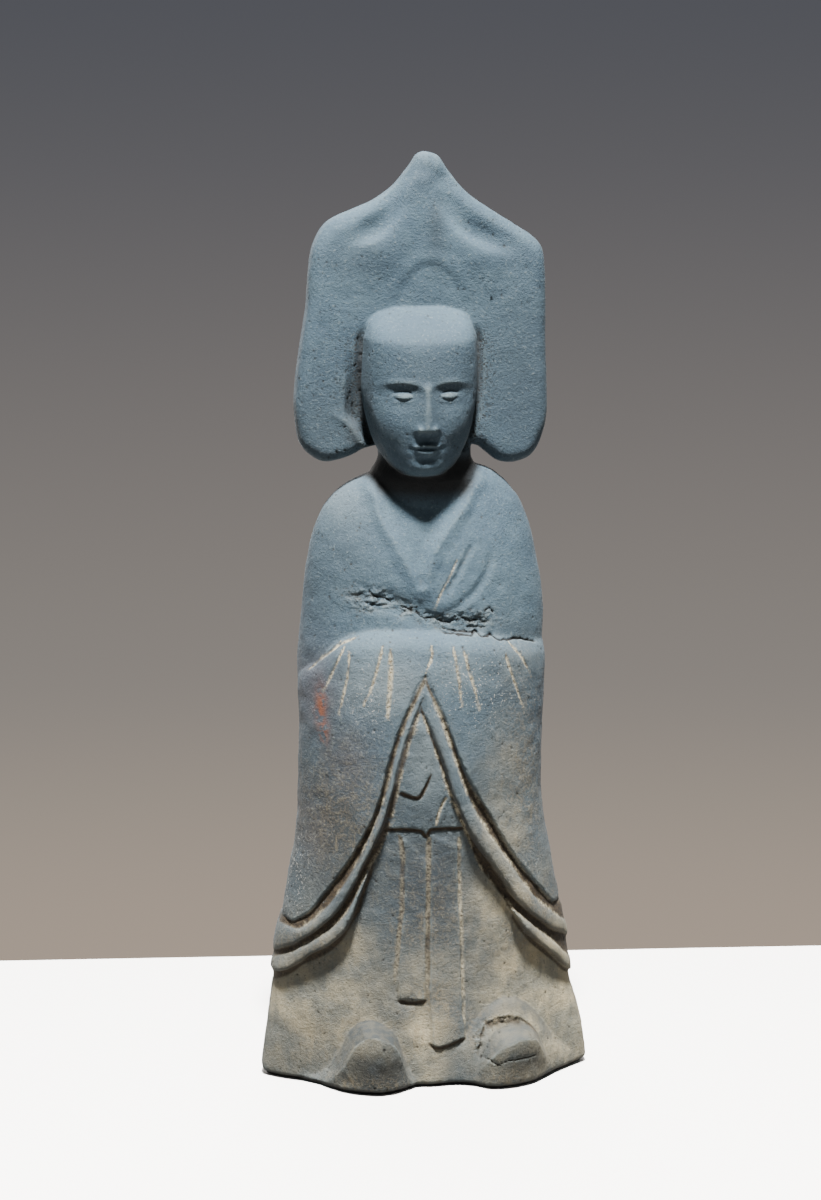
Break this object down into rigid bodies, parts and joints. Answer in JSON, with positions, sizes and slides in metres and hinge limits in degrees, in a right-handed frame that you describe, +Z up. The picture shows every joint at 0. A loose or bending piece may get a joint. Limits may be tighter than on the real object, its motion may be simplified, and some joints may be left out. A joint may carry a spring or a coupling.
{
  "type": "pottery court lady figure",
  "caption": "Standing court lady of grey pottery in a tall hood-shaped headdress, hands hidden in joined wide sleeves over a long flared robe, resting on its flat underside.",
  "frame": {"origin": "middle of the flat underside, under the figure's centre line", "axes": "+Z up the figure's height, -Y the way it faces, +X to the right of someone looking at its front"},
  "size_m": [0.1373, 0.0701, 0.3798],
  "materials": {
    "grey_pottery": "matt unglazed blue-grey fired clay with earth in the hollows"
  },
  "bodies": {
    "root": {"court_lady_figure": "grey_pottery"}
  },
  "joints": []
}
